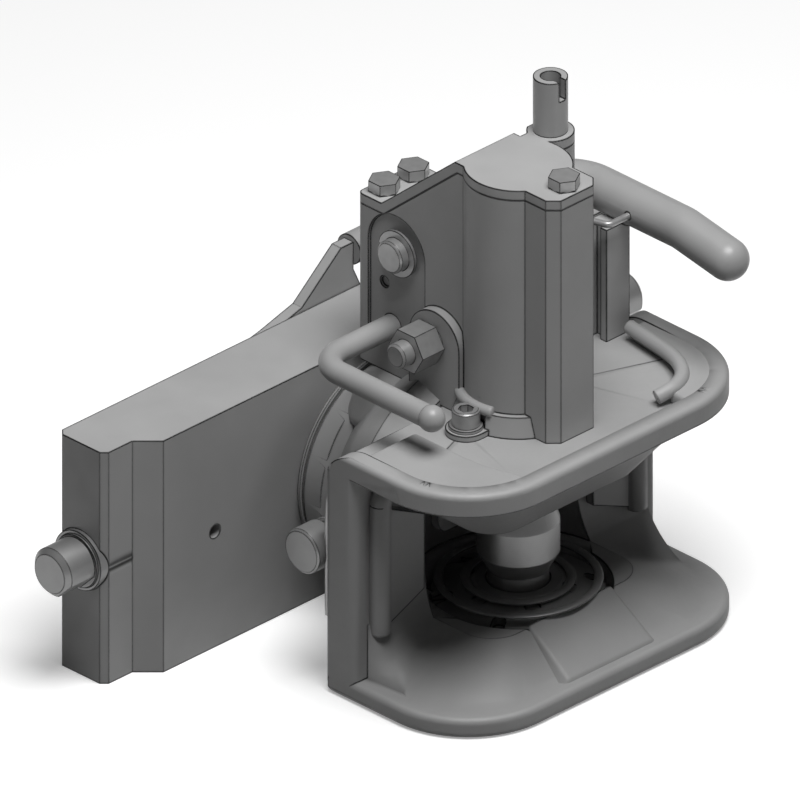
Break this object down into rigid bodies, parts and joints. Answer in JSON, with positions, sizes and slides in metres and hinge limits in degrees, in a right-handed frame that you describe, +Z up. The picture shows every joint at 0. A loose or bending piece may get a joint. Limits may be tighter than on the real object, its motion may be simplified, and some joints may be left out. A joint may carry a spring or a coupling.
{
  "type": "trailer hitch",
  "caption": "Automatic jaw coupling with a crowned pin, hand lever and swivelling jaw on a height adjustable guide plate held by two locking pins.",
  "frame": {"origin": "coupling centre: the middle of the crowned pin's band, on the pin's axis", "axes": "+X away from the towing vehicle, +Y along the guide plate, +Z up along the coupling pin"},
  "size_m": [0.218, 0.37, 0.273],
  "materials": {
    "cast_steel": "satin grey paint on a casting",
    "plate_steel": "satin grey paint on milled plate",
    "lever_steel": "smooth grey paint on bent bar",
    "pin_steel": "turned steel",
    "fasteners": "plated steel"
  },
  "bodies": {
    "plate": {"guide_plate": "plate_steel", "lock_bushes": "fasteners", "cam_screws": "fasteners", "swivel_ring": "fasteners"},
    "cam": {"cam_plate": "plate_steel", "release_handle": "lever_steel"},
    "lock_right": {"lock_pin_right": "pin_steel", "lock_stud_right": "fasteners", "lock_spring_right": "fasteners"},
    "lock_left": {"lock_pin_left": "pin_steel", "lock_stud_left": "fasteners", "lock_spring_left": "fasteners"},
    "jaw": {"jaw": "cast_steel", "swivel_shaft": "fasteners", "swivel_washer": "fasteners", "swivel_nut": "fasteners", "seat": "pin_steel", "centring_wings": "cast_steel", "trigger_pin": "fasteners", "housing": "cast_steel", "cover": "plate_steel", "cover_screws": "fasteners", "cable_tube": "fasteners", "foot_washers": "fasteners", "foot_screws": "fasteners", "cross_bolt": "fasteners", "cross_nut": "fasteners", "lever_rest": "plate_steel", "side_screw": "fasteners", "side_ring": "fasteners"},
    "coupling_pin": {"coupling_pin": "pin_steel"},
    "lever": {"lever_shaft": "fasteners", "lever_ring": "fasteners", "lift_arm": "fasteners", "arm_pin": "fasteners", "closing_spring": "fasteners", "hand_lever": "lever_steel", "lever_clip": "fasteners"},
    "latch": {"latch_handle": "lever_steel", "latch_pawl": "fasteners"},
    "trigger": {"trigger": "cast_steel"}
  },
  "joints": [
    {"name": "jaw_swivel", "type": "hinge", "parent": "plate", "child": "jaw", "pos_m": [-0.09, 0, 0.006], "axis": [1, 0, 0], "continuous": true},
    {"name": "cam_lift", "type": "slide", "parent": "plate", "child": "cam", "axis": [0, 0, 1], "range_m": [0, 0.025]},
    {"name": "lock_right_slide", "type": "slide", "parent": "plate", "child": "lock_right", "axis": [0, -1, 0], "range_m": [0, 0.02]},
    {"name": "lock_left_slide", "type": "slide", "parent": "plate", "child": "lock_left", "axis": [0, 1, 0], "range_m": [0, 0.02]},
    {"name": "lever_swing", "type": "hinge", "parent": "jaw", "child": "lever", "pos_m": [-0.057, 0, 0.13], "axis": [0, -1, 0], "range_deg": [0, 62]},
    {"name": "pin_lift", "type": "slide", "parent": "jaw", "child": "coupling_pin", "axis": [0, 0, 1], "range_m": [0, 0.068]},
    {"name": "latch_turn", "type": "hinge", "parent": "jaw", "child": "latch", "pos_m": [-0.063, 0, 0.0894], "axis": [0, -1, 0], "range_deg": [0, 25]},
    {"name": "trigger_swing", "type": "hinge", "parent": "jaw", "child": "trigger", "pos_m": [-0.025, 0, 0.022], "axis": [0, 1, 0], "range_deg": [0, 30]}
  ],
  "couplings": [
    {"joint": "lock_right_slide", "follows": "cam_lift", "ratio": 0.8},
    {"joint": "lock_left_slide", "follows": "cam_lift", "ratio": 0.8},
    {"joint": "pin_lift", "follows": "lever_swing", "m_per_rad": 0.0628}
  ]
}
